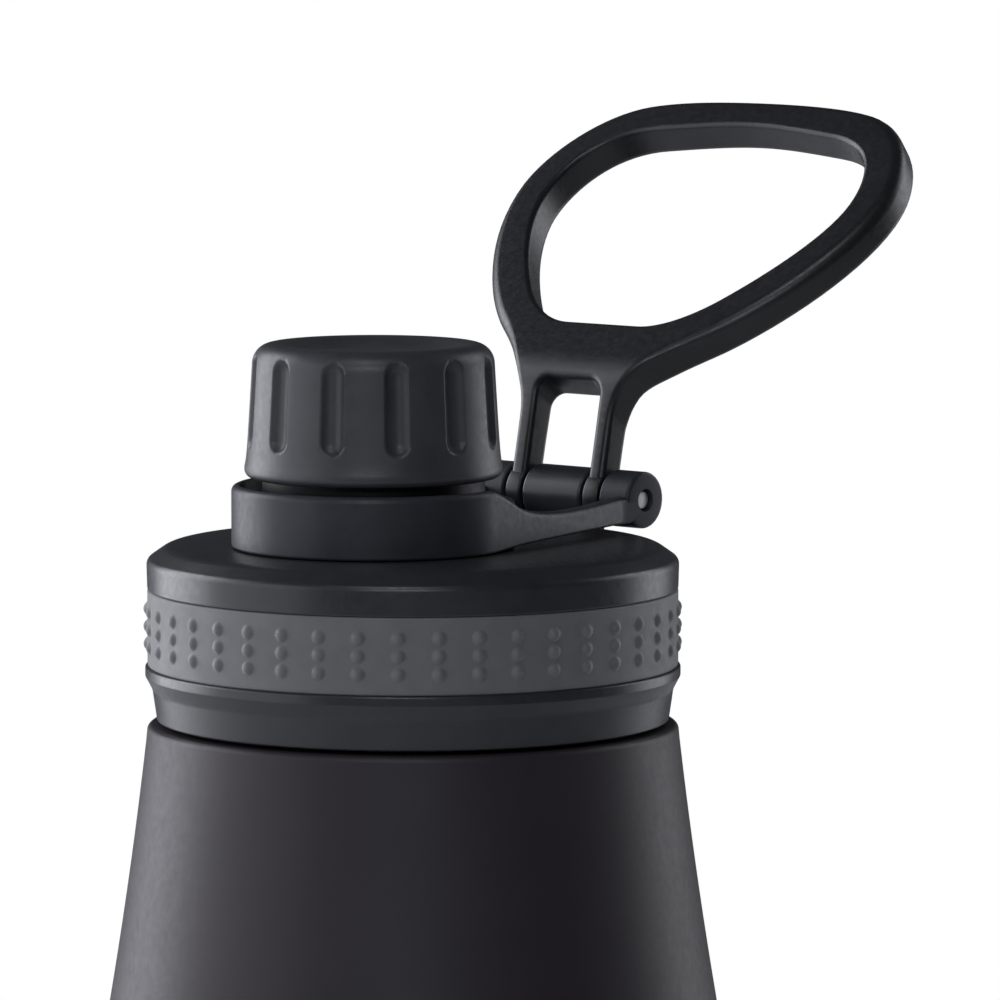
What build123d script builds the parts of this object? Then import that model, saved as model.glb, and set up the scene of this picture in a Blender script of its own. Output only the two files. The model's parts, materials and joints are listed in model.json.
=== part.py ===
from build123d import *
from math import atan2, cos, radians, sin
import os

# Insulated steel water bottle with a screw lid, a hinged chug cap and a folding carry handle.
# Millimetres, +Z up. The origin is the centre of the face that the bottle stands on. The hinge is
# at the back (+Y) with its pin along X, and the drinking spout is towards the front (-Y).

# ---- Bottle -------------------------------------------------------------------------------------
BODY_R = 45.0            # outer radius of the straight body
SHELL_T = 0.7            # thickness of both steel walls
VACUUM_GAP = 2.6         # space between the two walls
FOOT_ROUND = 3.5         # rounding where the body meets the base
SHOULDER_Z = 104.0       # top of the straight body
SHOULDER_SLOPE = 10.5    # steepest lean of the shoulder, degrees from vertical
CONVEX_R = 257.0         # outward-curving lower part of the shoulder
CONCAVE_R = 645.0        # inward-curving upper part of the shoulder
SHOULDER_TOP_Z = 195.2   # where the shoulder rounds over into the ledge under the lid
LEDGE_Z = 196.0
LEDGE_ROUND = 0.8
NECK_R = 28.3
NECK_TOP_Z = 209.0
MOUTH_R = 26.4           # bore of the mouth
BASE_R = 41.0            # closing plate inside the foot
BASE_COVER_R = 36.0
BASE_T = 1.0
BASE_RECESS = 2.4        # underside of the closing plate above the floor
PORT_R = 2.0             # vacuum port in the closing plate, inside a pressed boss
PORT_BOSS_R = 8.0
PORT_BOSS_H = 1.2
GETTER_R = 4.0
GETTER_H = 2.2
GETTER_X = 20.0
VESSEL_Z = 9.0           # underside of the inner vessel
VESSEL_ROUND = 8.0
VESSEL_BEND = 10.0       # the inner wall turns to the neck this far under the ledge
FOIL_GAP = 0.3           # foil stands off the inner vessel
FOIL_T = 0.2
FOIL_Z = 20.0

# ---- Lid thread (single start) ------------------------------------------------------------------
LID_PITCH = 4.0
LID_THREAD_TURNS = 1.25
LID_THREAD_DEPTH = 1.2
LID_THREAD_GAP = 0.35    # radial clearance, crest to root
LID_THREAD_ROOT = 2.5    # width of the ridge at its root and at its crest
LID_THREAD_CREST = 1.0
MALE_START_Z = 200.6     # centre of the neck's ridge at its lower end
FEMALE_START_Z = MALE_START_Z - LID_PITCH / 2

# ---- Lid ----------------------------------------------------------------------------------------
SKIRT_Z = 196.5
SKIRT_R = 32.8
BEVEL_Z = 200.8
BEVEL_R = 33.4
FLANGE_Z = 202.3
FLANGE_R = 34.3
BAND_Z = 203.6
BAND_TOP_Z = 213.4
BAND_R = 34.0
BAND_SEAT_R = 32.3
DOME_R = 34.1
DOME_ROUND_Z = 215.6
CROWN_R = 32.9           # mid-point of the dome's rounded shoulder
CROWN_Z = 218.2
PLATEAU_R = 30.0
PLATEAU_Z = 219.2
LID_BORE_R = 31.0        # inside of the cover's skirt, and outside of the liner
LID_TOP_T = 2.2
LINER_Z = 197.2
LINER_DISC_T = 1.5
GASKET_T = 2.0           # space between the neck's rim and the liner's disc
SEAL_FIT = 0.05          # each seal is this much clear of what it is pressed between

# ---- Spout and its two-start lug thread ---------------------------------------------------------
SPOUT_Y = -7.6
SPOUT_R = 9.6
SPOUT_BORE_R = 7.8
SPOUT_TOP_Z = 234.0
SPOUT_FLANGE_R = 14.0
SPOUT_FLANGE_T = 1.5
LUG_LEAD = 13.5          # rise per full turn
MALE_LUG_DEPTH = 1.2
MALE_LUG_FROM = -96.0    # degrees about the spout's axis
MALE_LUG_SPAN = 64.0
MALE_LUG_ROOT = 2.0      # width of a lug at its root and at its crest
MALE_LUG_CREST = 1.0
FEMALE_LUG_FROM = -18.0
FEMALE_LUG_SPAN = 36.0
FEMALE_LUG_ROOT = 3.2
FEMALE_LUG_CREST = 1.4
FEMALE_LUG_R = 10.1      # crest of the cap's lugs
LUG_Z = 231.0            # height of the cap's lugs at angle zero, cap run up
LUG_OFFSET = 1.7         # spout's lugs above the cap's, along the thread

# ---- Hinge --------------------------------------------------------------------------------------
HINGE_Y = 31.0
HINGE_Z = 223.05
KNUCKLE_R = 3.7
PIN_R = 1.25
PIN_FIT = 0.08           # running clearance, radial
PIN_HALF = 12.6
BOSS_HALF = 4.9          # lid's own knuckle
EYE_IN = 5.3             # handle's eyes
EYE_OUT = 7.8
KNUCKLE_IN = 8.2         # collar's knuckles
KNUCKLE_OUT = 13.1
COUNTERBORE_R = 1.6
COUNTERBORE_DEPTH = 0.9

# ---- Hinge collar -------------------------------------------------------------------------------
COLLAR_R = 18.1
COLLAR_BORE_R = 16.9
COLLAR_Z = 219.3
COLLAR_TOP_Z = 227.3
COLLAR_LEDGE_Z = 223.9
COLLAR_LEDGE_T = 1.1
COLLAR_LEDGE_R = 14.6
ARM_T = 2.2
ARM_H = 3.9
ARM_START_X = 17.89      # where the arm leaves the ring, at a tangent
ARM_START_Y = -4.87
ARM_KNEE_Y = 26.5        # from here the arm runs straight back past its knuckle
ARM_END_TOP = 0.9        # arm's top above the pin, and its underside below it
ARM_END_LOW = 2.7
SWEEP_Y = -4.5           # the rim drops to the arm along an arc through these points
SWEEP_MID = (1.6, 224.8)
SWEEP_END = (8.0, 223.35)
REAR_RIM_Z = 225.2       # the ring's own rim stays at this height behind the sweep

# ---- Cap ----------------------------------------------------------------------------------------
CAP_Z = 228.2
CAP_EDGE_R = 15.5
CAP_RIM_R = 16.5
CAP_RIM_H = 1.0          # height of the bevel under the rim
CAP_FLANK = (15.75, 236.2)   # mid-point of the slightly curved side
CAP_TOP_R = 15.1
CAP_TOP_Z = 245.25
CAP_ROUND = 2.7
DISH_R = 12.2
DISH_DEPTH = 1.2
CAP_WALL_R = 14.2        # inside of the shell, and outside of the threaded liner
CAP_ROOF_Z = 242.2
GROOVES = 12
GROOVE_R = 1.75
GROOVE_DEPTH = 0.9
GROOVE_Z = 233.7         # centre of the groove's round lower end
GROOVE_TOP_Z = 242.2
GROOVE_TURN = 22.3       # degrees from the X axis to the first groove
SLEEVE_Z = 222.6
SLEEVE_BORE_R = 12.3
CAP_CEILING_Z = 239.0
CAP_CEILING_T = 1.8
CAP_GASKET_T = 2.0
CAP_GASKET_R = 11.9
RETAINER_R = 15.9
RETAINER_T = 1.2
RETAINER_DROP = 0.1      # below the collar's ledge
RETAINER_SEAT = 0.7      # depth of the groove that holds it

# ---- Carry handle -------------------------------------------------------------------------------
LEG_LEAN = 11.9          # degrees back from vertical
LEG_T = 4.0
LEG_FRONT_Y = 28.5       # a point on the legs' front face
LEG_FRONT_Z = 226.0
LOOP_LEAN = 51.0
LOOP_T = 4.7
LOOP_Y = 28.7            # where the loop's outline has height zero, on the plane of its front face
LOOP_Z = 237.7
BEND_OUTER_R = 7.0
BEND_INNER_R = 3.0
LEG_DROP = 3.2           # legs below that point, into their eyes
LOOP_REACH = 58.0        # of the bent strip that the loop is cut from
SLOT_Y = 31.2            # top of the gap between the legs
SLOT_Z = 238.6
SLOT_LEAN = 40.6
SLOT_ROUND = 2.1
OUTLINE_FOOT = -30.0     # below the legs' ends

# Right half of the loop, as cubic curves in (across, up the loop). They meet at a tangent.
LOOP_OUTER = [
    [(7.8, -1.5), (7.8, 3.0), (11.2, 5.9), (17.3, 11.0)],
    [(17.3, 11.0), (22.6, 15.4), (31.2, 27.0), (31.2, 37.6)],
    [(31.2, 37.6), (31.2, 44.5), (26.3, 52.6), (19.0, 54.7)],
    [(19.0, 54.7), (14.0, 56.1), (7.0, 56.4), (0.0, 56.4)],
]
LOOP_INNER = [
    [(0.0, 11.95), (2.0, 11.95), (4.0, 11.95), (6.0, 11.95)],
    [(6.0, 11.95), (9.5, 11.95), (13.2, 14.4), (15.8, 17.4)],
    [(15.8, 17.4), (19.0, 21.1), (25.6, 30.0), (25.6, 36.8)],
    [(25.6, 36.8), (25.6, 42.8), (22.4, 48.6), (15.0, 49.6)],
    [(15.0, 49.6), (10.1, 50.3), (5.0, 51.1), (0.0, 51.1)],
]


def ring(points, y=0.0):
    """Solid turned about a vertical axis at (0, y) from an outline of (radius, height) points."""
    outline = make_face(Plane.XZ * Polyline(*points, close=True))
    return Pos(0, y, 0) * revolve(outline, Axis.Z)


def tube(outer, inner, low, high, y=0.0):
    return ring([(inner, low), (outer, low), (outer, high), (inner, high)], y)


def turned(edges, y=0.0):
    """As ring, from edges drawn in the XZ plane."""
    return Pos(0, y, 0) * revolve(make_face(Plane.XZ * Curve(children=edges)), Axis.Z)


def ridge(root_r, crest_r, root_w, crest_w, lead, start_z, start_deg, span_deg):
    """Helical ridge that rises to the right, standing on radius root_r."""
    section = Plane.XZ * Polygon(
        (root_r, -root_w / 2),
        (crest_r, -crest_w / 2),
        (crest_r, crest_w / 2),
        (root_r, root_w / 2),
        align=None,
    )
    path = Helix(lead, lead * span_deg / 360, (root_r + crest_r) / 2)
    return Pos(0, 0, start_z) * Rot(0, 0, start_deg) * sweep(section, path, is_frenet=True)


def shoulder_points(inset):
    """Key points of the shoulder, moved inwards by inset along its normals."""
    lean = radians(SHOULDER_SLOPE)
    flex_r = BODY_R - CONVEX_R * (1 - cos(lean))
    flex_z = SHOULDER_Z + CONVEX_R * sin(lean)
    centre_r = flex_r + CONCAVE_R * cos(lean)
    centre_z = flex_z + CONCAVE_R * sin(lean)
    top_lean = atan2(centre_z - SHOULDER_TOP_Z, CONCAVE_R)

    def convex(angle):
        reach = CONVEX_R - inset
        return (BODY_R - CONVEX_R + reach * cos(angle), SHOULDER_Z + reach * sin(angle))

    def concave(angle):
        reach = CONCAVE_R + inset
        return (centre_r - reach * cos(angle), centre_z - reach * sin(angle))

    return (
        convex(0),
        convex(lean / 2),
        convex(lean),
        concave((lean + top_lean) / 2),
        concave(top_lean),
    )


def make_outer_shell():
    foot, low, flex, high, top = shoulder_points(0)
    rim = (top[0] - LEDGE_ROUND, LEDGE_Z)
    rim_mid = (top[0] - 0.25 * LEDGE_ROUND, LEDGE_Z - 0.3 * LEDGE_ROUND)
    foot_in, low_in, flex_in, high_in, top_in = shoulder_points(SHELL_T)
    inner_neck = NECK_R - SHELL_T
    inner_foot = BODY_R - SHELL_T
    mid = FOOT_ROUND * (1 - cos(radians(45)))
    lip_z = NECK_TOP_Z - SHELL_T
    ledge_in = (inner_neck, LEDGE_Z - SHELL_T)
    edges = [
        Line((BASE_R, 0), (BODY_R - FOOT_ROUND, 0)),
        ThreePointArc((BODY_R - FOOT_ROUND, 0), (BODY_R - mid, mid), (BODY_R, FOOT_ROUND)),
        Line((BODY_R, FOOT_ROUND), foot),
        ThreePointArc(foot, low, flex),
        ThreePointArc(flex, high, top),
        ThreePointArc(top, rim_mid, rim),
        Polyline(rim, (NECK_R, LEDGE_Z), (NECK_R, lip_z), (inner_neck, lip_z)),
        Polyline((inner_neck, lip_z), ledge_in, (top_in[0] - 0.4, ledge_in[1]), top_in),
        ThreePointArc(top_in, high_in, flex_in),
        ThreePointArc(flex_in, low_in, foot_in),
        Polyline(foot_in, (inner_foot, FOOT_ROUND), (BASE_R, BASE_RECESS), (BASE_R, 0)),
    ]
    thread = ridge(
        NECK_R - 0.3,
        NECK_R + LID_THREAD_DEPTH,
        LID_THREAD_ROOT,
        LID_THREAD_CREST,
        LID_PITCH,
        MALE_START_Z,
        0,
        360 * LID_THREAD_TURNS,
    )
    return turned(edges) + thread


def make_inner_vessel():
    inset = SHELL_T + VACUUM_GAP
    outer = shoulder_points(inset)
    inner = shoulder_points(inset + SHELL_T)
    neck_r = MOUTH_R + SHELL_T
    bend_z = LEDGE_Z - VESSEL_BEND
    wall_r = BODY_R - inset
    side_z = VESSEL_Z + VESSEL_ROUND
    flat_r = wall_r - VESSEL_ROUND
    mid = VESSEL_ROUND * (1 - cos(radians(45)))
    floor_z = VESSEL_Z + SHELL_T
    lip_z = NECK_TOP_Z - SHELL_T
    out_high = (outer[3][0] - 0.6, (outer[3][1] + bend_z) / 2)
    out_bend = (outer[4][0] + 0.2, bend_z)
    in_high = (out_high[0] - SHELL_T, out_high[1])
    in_bend = (out_bend[0] - SHELL_T, bend_z)
    neck_z = LEDGE_Z - 1.5
    edges = [
        Line((0, VESSEL_Z), (flat_r, VESSEL_Z)),
        ThreePointArc((flat_r, VESSEL_Z), (wall_r - mid, VESSEL_Z + mid), (wall_r, side_z)),
        Line((wall_r, side_z), outer[0]),
        ThreePointArc(outer[0], outer[1], outer[2]),
        ThreePointArc(outer[2], outer[3], out_bend),
        Polyline(out_bend, (neck_r, neck_z), (neck_r, lip_z), (NECK_R, lip_z), (NECK_R, NECK_TOP_Z)),
        Polyline((NECK_R, NECK_TOP_Z), (MOUTH_R, NECK_TOP_Z), (MOUTH_R, neck_z - 0.4), in_bend),
        ThreePointArc(in_bend, inner[3], inner[2]),
        ThreePointArc(inner[2], inner[1], inner[0]),
        Line(inner[0], (wall_r - SHELL_T, side_z)),
        ThreePointArc(
            (wall_r - SHELL_T, side_z),
            (wall_r - mid - SHELL_T / 2, VESSEL_Z + mid + SHELL_T / 2),
            (flat_r, floor_z),
        ),
        Polyline((flat_r, floor_z), (0, floor_z), (0, VESSEL_Z)),
    ]
    return turned(edges)


def make_radiation_foil():
    inner = BODY_R - SHELL_T - VACUUM_GAP + FOIL_GAP
    return tube(inner + FOIL_T, inner, FOIL_Z, SHOULDER_Z - 4)


def make_outer_base():
    low = BASE_RECESS
    high = BASE_RECESS + BASE_T
    boss = high + PORT_BOSS_H
    return ring([
        (PORT_R, low),
        (BASE_R, low),
        (BASE_R, high),
        (PORT_BOSS_R, high),
        (PORT_BOSS_R - 3, boss),
        (PORT_R, boss),
    ])


def make_vacuum_plug():
    low = BASE_RECESS
    high = BASE_RECESS + BASE_T + PORT_BOSS_H
    return ring([(0, low), (PORT_R, low), (PORT_R, high), (PORT_R - 0.8, high + 0.8), (0, high + 1)])


def make_getter():
    seat = (Align.CENTER, Align.CENTER, Align.MIN)
    return Pos(GETTER_X, 0, BASE_RECESS + BASE_T) * Cylinder(GETTER_R, GETTER_H, align=seat)


def make_base_cover():
    edge = BASE_COVER_R
    return ring([(0, 0), (edge - 1, 0), (edge, 1), (edge, BASE_RECESS), (0, BASE_RECESS)])


def make_lid_cover():
    top_r = DOME_R - 0.2
    bore_top = PLATEAU_Z - LID_TOP_T
    edges = [
        Polyline((LID_BORE_R, SKIRT_Z), (SKIRT_R - 0.4, SKIRT_Z), (SKIRT_R, SKIRT_Z + 0.4)),
        Polyline((SKIRT_R, SKIRT_Z + 0.4), (BEVEL_R, BEVEL_Z), (FLANGE_R, FLANGE_Z), (FLANGE_R, BAND_Z)),
        Polyline((FLANGE_R, BAND_Z), (BAND_SEAT_R, BAND_Z), (BAND_SEAT_R, BAND_TOP_Z)),
        Polyline((BAND_SEAT_R, BAND_TOP_Z), (top_r, BAND_TOP_Z), (DOME_R, BAND_TOP_Z + 0.4)),
        Line((DOME_R, BAND_TOP_Z + 0.4), (DOME_R, DOME_ROUND_Z)),
        ThreePointArc((DOME_R, DOME_ROUND_Z), (CROWN_R, CROWN_Z), (PLATEAU_R, PLATEAU_Z)),
        Polyline((PLATEAU_R, PLATEAU_Z), (0, PLATEAU_Z), (0, bore_top), (LID_BORE_R - 1, bore_top)),
        Polyline((LID_BORE_R - 1, bore_top), (LID_BORE_R, bore_top - 1), (LID_BORE_R, SKIRT_Z)),
    ]
    cover = turned(edges)
    spout_hole = Pos(0, SPOUT_Y, PLATEAU_Z) * Cylinder(SPOUT_R + 0.2, 12)
    barrel = Pos(0, HINGE_Y, HINGE_Z) * Rot(0, 90, 0) * Cylinder(KNUCKLE_R, 2 * BOSS_HALF)
    foot_h = HINGE_Z - PLATEAU_Z + LID_TOP_T / 2
    foot = Pos(0, HINGE_Y - 1.2, HINGE_Z - foot_h / 2) * Box(2 * BOSS_HALF, 5.0, foot_h)
    foot &= tube(DOME_R - 0.3, 0, DOME_ROUND_Z, HINGE_Z)
    pin_hole = Pos(0, HINGE_Y, HINGE_Z) * Rot(0, 90, 0) * Cylinder(PIN_R, 4 * BOSS_HALF)
    return cover - spout_hole + barrel + foot - pin_hole


def make_lid_liner():
    root_r = NECK_R + LID_THREAD_DEPTH + LID_THREAD_GAP
    disc_z = NECK_TOP_Z + GASKET_T
    top_z = disc_z + LINER_DISC_T
    liner = ring([
        (root_r, LINER_Z),
        (LID_BORE_R, LINER_Z),
        (LID_BORE_R, top_z),
        (0, top_z),
        (0, disc_z),
        (root_r, disc_z),
    ])
    thread = ridge(
        root_r + 0.3,
        NECK_R + LID_THREAD_GAP,
        LID_THREAD_ROOT,
        LID_THREAD_CREST,
        LID_PITCH,
        FEMALE_START_Z,
        0,
        360 * LID_THREAD_TURNS,
    )
    bore = Pos(0, SPOUT_Y, disc_z) * Cylinder(SPOUT_BORE_R, 12)
    return liner + thread - bore


def make_lid_gasket():
    outer = NECK_R + LID_THREAD_DEPTH
    low = NECK_TOP_Z + SEAL_FIT
    high = NECK_TOP_Z + GASKET_T - SEAL_FIT
    inner = MOUTH_R - 1.0
    return ring([(inner, low), (outer - 0.3, low), (outer, low + 0.3), (outer, high), (inner, high)])


def make_lid_insulation():
    low = NECK_TOP_Z + GASKET_T + LINER_DISC_T
    high = PLATEAU_Z - LID_TOP_T
    outer = LID_BORE_R - 1.2
    disc = ring([(0, low), (outer, low), (outer, high), (0, high)])
    return disc - Pos(0, SPOUT_Y, low) * Cylinder(SPOUT_FLANGE_R + 0.3, 20)


def make_grip_band():
    return tube(BAND_R, BAND_SEAT_R, BAND_Z, BAND_TOP_Z)


def make_spout():
    low = NECK_TOP_Z + GASKET_T + LINER_DISC_T
    flange_z = low + SPOUT_FLANGE_T
    body = ring([
        (SPOUT_BORE_R, low),
        (SPOUT_FLANGE_R, low),
        (SPOUT_FLANGE_R, flange_z),
        (SPOUT_R, flange_z),
        (SPOUT_R, SPOUT_TOP_Z - 1.0),
        (SPOUT_R - 0.9, SPOUT_TOP_Z),
        (SPOUT_BORE_R + 0.3, SPOUT_TOP_Z),
        (SPOUT_BORE_R, SPOUT_TOP_Z - 0.5),
    ])
    low_z = LUG_Z + LUG_OFFSET + LUG_LEAD * MALE_LUG_FROM / 360
    for start in (MALE_LUG_FROM, MALE_LUG_FROM + 180):
        body += ridge(
            SPOUT_R - 0.4,
            SPOUT_R + MALE_LUG_DEPTH,
            MALE_LUG_ROOT,
            MALE_LUG_CREST,
            LUG_LEAD,
            low_z,
            start,
            MALE_LUG_SPAN,
        )
    return Pos(0, SPOUT_Y, 0) * body


def make_hinge_pin():
    return Pos(0, HINGE_Y, HINGE_Z) * Rot(0, 90, 0) * Cylinder(PIN_R, 2 * PIN_HALF)


def across(low, high, radius):
    """Cylinder along the hinge axis from X = low to X = high."""
    return Pos((low + high) / 2, HINGE_Y, HINGE_Z) * Rot(0, 90, 0) * Cylinder(radius, high - low)


def make_hinge_collar():
    ledge_top = COLLAR_LEDGE_Z + COLLAR_LEDGE_T
    lower_bore = RETAINER_R + 0.5
    hoop = ring(
        [
            (lower_bore, COLLAR_Z),
            (COLLAR_R, COLLAR_Z),
            (COLLAR_R, COLLAR_TOP_Z - 0.5),
            (COLLAR_R - 0.5, COLLAR_TOP_Z),
            (COLLAR_BORE_R + 0.2, COLLAR_TOP_Z),
            (COLLAR_BORE_R, COLLAR_TOP_Z - 0.2),
            (COLLAR_BORE_R, ledge_top),
            (COLLAR_LEDGE_R, ledge_top),
            (COLLAR_LEDGE_R, COLLAR_LEDGE_Z),
            (lower_bore, COLLAR_LEDGE_Z),
        ],
        SPOUT_Y,
    )
    start = (ARM_START_Y, COLLAR_TOP_Z)
    end_top = (HINGE_Y, HINGE_Z + ARM_END_TOP)
    end_low = (HINGE_Y, HINGE_Z - ARM_END_LOW)
    fall = ThreePointArc((SWEEP_Y, COLLAR_TOP_Z), SWEEP_MID, SWEEP_END)
    side = make_face(Plane.YZ * Curve(children=[
        Polyline((ARM_START_Y, COLLAR_Z), start, (SWEEP_Y, COLLAR_TOP_Z)),
        fall,
        Polyline(SWEEP_END, end_top, end_low, (ARM_START_Y, COLLAR_Z)),
    ]))
    above = make_face(Plane.YZ * Curve(children=[
        fall,
        Polyline(SWEEP_END, (HINGE_Y, SWEEP_END[1]), (HINGE_Y, COLLAR_TOP_Z), (SWEEP_Y, COLLAR_TOP_Z)),
    ]))
    rear = Pos(0, HINGE_Y / 2, REAR_RIM_Z + ARM_H / 2) * Box(2 * COLLAR_R, 3 * HINGE_Y, ARM_H)
    hoop -= extrude(above, COLLAR_R, both=True) & rear
    band = extrude(side, COLLAR_R + ARM_T, both=True)
    plan = [(ARM_START_X, ARM_START_Y), (KNUCKLE_OUT, ARM_KNEE_Y), (KNUCKLE_OUT, HINGE_Y)]
    plan += [(x - ARM_T, y) for x, y in reversed(plan)]
    hollow = Pos(0, SPOUT_Y, COLLAR_TOP_Z) * Cylinder(COLLAR_BORE_R, 5 * ARM_H)
    collar = hoop
    for side_x in (1, -1):
        strip = make_face(Polyline(*[(side_x * x, y) for x, y in plan], close=True))
        arm = (extrude(strip, 2 * COLLAR_TOP_Z, both=True) & band) - hollow
        low_x, high_x = sorted((side_x * KNUCKLE_IN, side_x * KNUCKLE_OUT))
        collar += arm + across(low_x, high_x, KNUCKLE_R)
        end = side_x * KNUCKLE_OUT
        collar -= across(end - COUNTERBORE_DEPTH, end + COUNTERBORE_DEPTH, COUNTERBORE_R)
    return collar - across(-COLLAR_R, COLLAR_R, PIN_R + PIN_FIT)


def meet(a, along_a, b, along_b):
    """Where two lines of the YZ plane cross."""
    gap = b - a
    scale = along_a.Y * along_b.Z - along_a.Z * along_b.Y
    return a + along_a * ((gap.Y * along_b.Z - gap.Z * along_b.Y) / scale)


def bent_strip():
    """Legs and loop seen from the side, much wider than the handle."""
    lean = radians(LEG_LEAN)
    tilt = radians(LOOP_LEAN)
    leg = Vector(0, sin(lean), cos(lean))
    loop = Vector(0, sin(tilt), cos(tilt))
    leg_front = Vector(0, LEG_FRONT_Y, LEG_FRONT_Z)
    leg_rear = leg_front + Vector(0, cos(lean), -sin(lean)) * LEG_T
    loop_front = Vector(0, LOOP_Y, LOOP_Z)
    loop_rear = loop_front + Vector(0, cos(tilt), -sin(tilt)) * LOOP_T
    foot = leg * -LEG_DROP
    reach = loop * LOOP_REACH
    front_bend = meet(leg_front, leg, loop_front, loop)
    rear_bend = meet(leg_rear, leg, loop_rear, loop)
    front = FilletPolyline(leg_front + foot, front_bend, loop_front + reach, radius=BEND_OUTER_R)
    rear = FilletPolyline(leg_rear + foot, rear_bend, loop_rear + reach, radius=BEND_INNER_R)
    ends = [Line(front @ 0, rear @ 0), Line(front @ 1, rear @ 1)]
    profile = make_face(Curve(children=[front, rear, *ends]))
    return extrude(profile, 2 * COLLAR_R, dir=(1, 0, 0), both=True)


def leaning_plane(y, z, lean):
    """Plane with x across the handle and -y up along the given lean."""
    tilt = radians(lean)
    return Plane(origin=(0, y, z), x_dir=(1, 0, 0), z_dir=(0, cos(tilt), -sin(tilt)))


def loop_outline(half, closing=()):
    """Face between the right half's curves and their mirror images."""
    right = [Bezier(*curve) for curve in half]
    left = [mirror(curve, Plane.YZ) for curve in right]
    return mirror(make_face(Curve(children=[*right, *left, *closing])), Plane.XZ)


def make_carry_handle():
    foot = Polyline(
        LOOP_OUTER[0][0],
        (EYE_OUT, OUTLINE_FOOT),
        (-EYE_OUT, OUTLINE_FOOT),
        (-EYE_OUT, LOOP_OUTER[0][0][1]),
    )
    loop_plane = leaning_plane(LOOP_Y, LOOP_Z, LOOP_LEAN)
    whole = loop_outline(LOOP_OUTER, [foot])
    opening = loop_outline(LOOP_INNER)
    handle = extrude(loop_plane * whole, LOOP_REACH, both=True) & bent_strip()
    handle -= extrude(loop_plane * opening, LOOP_REACH, both=True)

    depth = -OUTLINE_FOOT
    slot = Pos(0, depth / 2) * Rectangle(2 * EYE_IN, depth)
    corners = sorted(slot.vertices(), key=lambda v: v.Y)[:2]
    slot = fillet(corners, SLOT_ROUND)
    handle -= extrude(leaning_plane(SLOT_Y, SLOT_Z, SLOT_LEAN) * slot, LOOP_REACH / 3, both=True)

    for side_x in (1, -1):
        low_x, high_x = sorted((side_x * EYE_IN, side_x * EYE_OUT))
        handle += across(low_x, high_x, KNUCKLE_R)
    return handle - across(-COLLAR_R, COLLAR_R, PIN_R + PIN_FIT)


def make_cap_shell():
    rim_z = CAP_Z + CAP_RIM_H
    roof = CAP_ROOF_Z
    rim = (CAP_RIM_R, rim_z + 0.4)
    edges = [
        Polyline((CAP_WALL_R, CAP_Z), (CAP_EDGE_R, CAP_Z), (CAP_RIM_R, rim_z), rim),
        ThreePointArc(rim, CAP_FLANK, (CAP_TOP_R, CAP_TOP_Z - CAP_ROUND)),
        ThreePointArc(
            (CAP_TOP_R, CAP_TOP_Z - CAP_ROUND),
            (CAP_TOP_R - 0.3 * CAP_ROUND, CAP_TOP_Z - 0.3 * CAP_ROUND),
            (CAP_TOP_R - 0.9 * CAP_ROUND, CAP_TOP_Z),
        ),
        Polyline(
            (CAP_TOP_R - 0.9 * CAP_ROUND, CAP_TOP_Z),
            (DISH_R, CAP_TOP_Z),
            (DISH_R - 1.2, CAP_TOP_Z - DISH_DEPTH),
            (0, CAP_TOP_Z - DISH_DEPTH),
            (0, roof),
            (CAP_WALL_R, roof),
            (CAP_WALL_R, CAP_Z),
        ),
    ]
    shell = turned(edges)
    wide = CAP_TOP_R + 0.4 + GROOVE_R - GROOVE_DEPTH
    height = GROOVE_TOP_Z - GROOVE_Z
    cutter = Pos(wide, 0, GROOVE_Z + height / 2) * Cylinder(GROOVE_R, height)
    cutter += Pos(wide, 0, GROOVE_Z) * Sphere(GROOVE_R)
    cutter += Pos(wide, 0, GROOVE_TOP_Z) * Sphere(GROOVE_R)
    for i in range(GROOVES):
        shell -= Rot(0, 0, GROOVE_TURN + 360 * i / GROOVES) * cutter
    return Pos(0, SPOUT_Y, 0) * shell


def make_cap_liner():
    seat_z = COLLAR_LEDGE_Z - RETAINER_DROP
    seat_r = CAP_WALL_R - RETAINER_SEAT
    sleeve = ring([
        (SLEEVE_BORE_R, SLEEVE_Z),
        (seat_r, SLEEVE_Z),
        (seat_r, seat_z),
        (CAP_WALL_R, seat_z),
        (CAP_WALL_R, CAP_CEILING_Z + CAP_CEILING_T),
        (0, CAP_CEILING_Z + CAP_CEILING_T),
        (0, CAP_CEILING_Z),
        (SLEEVE_BORE_R, CAP_CEILING_Z),
    ])
    low_z = LUG_Z + LUG_LEAD * FEMALE_LUG_FROM / 360
    for start in (FEMALE_LUG_FROM, FEMALE_LUG_FROM + 180):
        sleeve += ridge(
            SLEEVE_BORE_R + 0.4,
            FEMALE_LUG_R,
            FEMALE_LUG_ROOT,
            FEMALE_LUG_CREST,
            LUG_LEAD,
            low_z,
            start,
            FEMALE_LUG_SPAN,
        )
    return Pos(0, SPOUT_Y, 0) * sleeve


def make_cap_gasket():
    high = CAP_CEILING_Z - SEAL_FIT
    low = high - CAP_GASKET_T
    edge = CAP_GASKET_R
    return ring([(0, low), (edge - 0.3, low), (edge, low + 0.3), (edge, high), (0, high)], SPOUT_Y)


def make_cap_retaining_ring():
    high = COLLAR_LEDGE_Z - RETAINER_DROP
    low = high - RETAINER_T
    return tube(RETAINER_R, CAP_WALL_R - RETAINER_SEAT, low, high, SPOUT_Y)


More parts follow.
